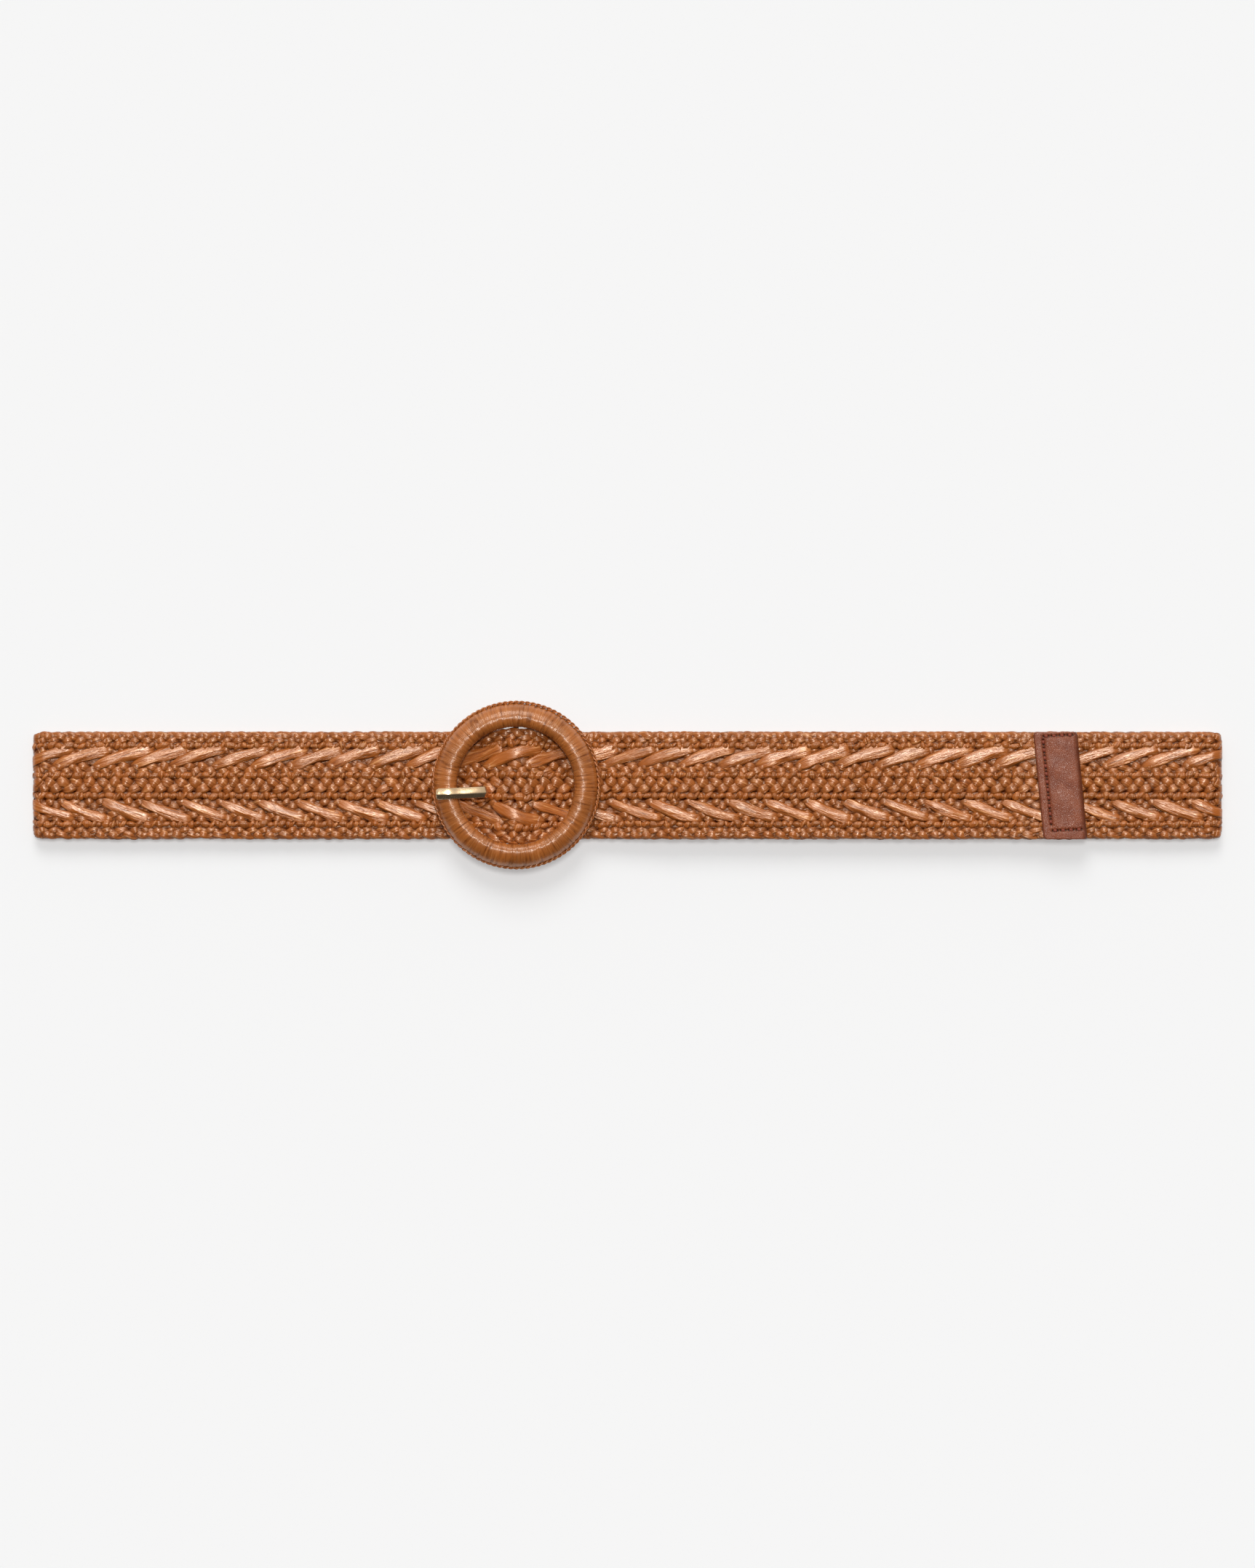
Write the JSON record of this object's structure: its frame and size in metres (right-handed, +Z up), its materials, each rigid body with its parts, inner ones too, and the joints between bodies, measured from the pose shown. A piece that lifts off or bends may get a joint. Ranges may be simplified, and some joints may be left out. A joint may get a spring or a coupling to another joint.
{
  "type": "plaited waist belt with a wrapped round buckle",
  "caption": "Plaited raffia waist belt, fastened and laid flat, with a raffia-wrapped round buckle, a gold prong and a stitched leather tip.",
  "frame": {"origin": "middle of the laid belt's box, on the surface that its back panel rests on", "axes": "+X along the belt towards its tip, +Y across the strap, +Z up out of its front face"},
  "size_m": [0.449, 0.0646, 0.0177],
  "materials": {
    "raffia": "semi-gloss plaited straw",
    "raffia_wrap": "glossy wound straw",
    "leather": "smooth, satin",
    "thread": "matt waxed thread",
    "gold": "polished pale gold",
    "bar": "dark bronzed wire",
    "core": "bare"
  },
  "bodies": {
    "back_centre": {"upper_edge_plait_back_centre": "raffia", "upper_leaf_plait_back_centre": "raffia", "centre_plait_back_centre": "raffia", "lower_leaf_plait_back_centre": "raffia", "lower_edge_plait_back_centre": "raffia"},
    "back_left": {"upper_edge_plait_back_left": "raffia", "upper_leaf_plait_back_left": "raffia", "centre_plait_back_left": "raffia", "lower_leaf_plait_back_left": "raffia", "lower_edge_plait_back_left": "raffia", "left_fold": "raffia"},
    "back_right": {"upper_edge_plait_back_right": "raffia", "upper_leaf_plait_back_right": "raffia", "centre_plait_back_right": "raffia", "lower_leaf_plait_back_right": "raffia", "lower_edge_plait_back_right": "raffia", "right_fold": "raffia"},
    "front_left": {"upper_edge_plait_front_left": "raffia", "upper_leaf_plait_front_left": "raffia", "centre_plait_front_left": "raffia", "lower_leaf_plait_front_left": "raffia", "lower_edge_plait_front_left": "raffia"},
    "front_right": {"upper_edge_plait_front_right": "raffia", "upper_leaf_plait_front_right": "raffia", "centre_plait_front_right": "raffia", "lower_leaf_plait_front_right": "raffia", "lower_edge_plait_front_right": "raffia"},
    "strap_through": {"upper_edge_plait_strap_through": "raffia", "upper_leaf_plait_strap_through": "raffia", "centre_plait_strap_through": "raffia", "lower_leaf_plait_strap_through": "raffia", "lower_edge_plait_strap_through": "raffia"},
    "buckle_strap": {"upper_edge_plait_buckle_strap": "raffia", "upper_leaf_plait_buckle_strap": "raffia", "centre_plait_buckle_strap": "raffia", "lower_leaf_plait_buckle_strap": "raffia", "lower_edge_plait_buckle_strap": "raffia"},
    "tail_middle": {"upper_edge_plait_tail_middle": "raffia", "upper_leaf_plait_tail_middle": "raffia", "centre_plait_tail_middle": "raffia", "lower_leaf_plait_tail_middle": "raffia", "lower_edge_plait_tail_middle": "raffia"},
    "tail_end": {"upper_edge_plait_tail_end": "raffia", "upper_leaf_plait_tail_end": "raffia", "centre_plait_tail_end": "raffia", "lower_leaf_plait_tail_end": "raffia", "lower_edge_plait_tail_end": "raffia", "leather_tip": "leather", "tip_thread": "thread"},
    "buckle": {"ring_core": "core", "ring_wrap": "raffia_wrap", "ring_edge_cord": "raffia_wrap", "buckle_bar": "bar"},
    "prong": {"prong": "gold"}
  },
  "joints": [
    {"name": "loop_open", "type": "hinge", "parent": "back_centre", "child": "back_left", "pos_m": [-0.075, 0, 0.0024], "axis": [0, 1, 0], "range_deg": [0, 60]},
    {"name": "loop_open_right", "type": "hinge", "parent": "back_centre", "child": "back_right", "pos_m": [0.075, 0, 0.0024], "axis": [0, -1, 0], "range_deg": [0, 60]},
    {"name": "left_fold_open", "type": "hinge", "parent": "back_left", "child": "front_left", "pos_m": [-0.2211, 0, 0.0034], "axis": [0, -1, 0], "range_deg": [0, 120], "deforming": ["left_fold"]},
    {"name": "right_fold_open", "type": "hinge", "parent": "back_right", "child": "front_right", "pos_m": [0.2211, 0, 0.0034], "axis": [0, 1, 0], "range_deg": [0, 120], "deforming": ["right_fold"]},
    {"name": "front_left_bend", "type": "hinge", "parent": "front_left", "child": "strap_through", "pos_m": [-0.075, 0, 0.0044], "axis": [0, 1, 0], "range_deg": [0, 60]},
    {"name": "front_right_bend", "type": "hinge", "parent": "front_right", "child": "buckle_strap", "pos_m": [0.075, 0, 0.0044], "axis": [0, -1, 0], "range_deg": [0, 60]},
    {"name": "tail_bend", "type": "hinge", "parent": "strap_through", "child": "tail_middle", "pos_m": [0.075, 0, 0.0044], "axis": [0, 1, 0], "range_deg": [0, 60]},
    {"name": "tail_lift", "type": "hinge", "parent": "tail_middle", "child": "tail_end", "pos_m": [0.105, 0, 0.0095], "axis": [0, -1, 0], "range_deg": [0, 60]},
    {"name": "buckle_tilt", "type": "hinge", "parent": "buckle_strap", "child": "buckle", "pos_m": [-0.042, 0, 0.0059], "axis": [0, 1, 0], "range_deg": [-2, 1]},
    {"name": "prong_lift", "type": "hinge", "parent": "buckle", "child": "prong", "pos_m": [-0.042, 0, 0.0059], "axis": [0, 1, 0], "range_deg": [0, 70]}
  ],
  "couplings": [
    {"joint": "loop_open_right", "follows": "loop_open", "ratio": 1},
    {"joint": "left_fold_open", "follows": "loop_open", "ratio": 2},
    {"joint": "right_fold_open", "follows": "loop_open", "ratio": 2},
    {"joint": "front_left_bend", "follows": "loop_open", "ratio": 1},
    {"joint": "front_right_bend", "follows": "loop_open", "ratio": 1},
    {"joint": "tail_bend", "follows": "loop_open", "ratio": 1}
  ]
}
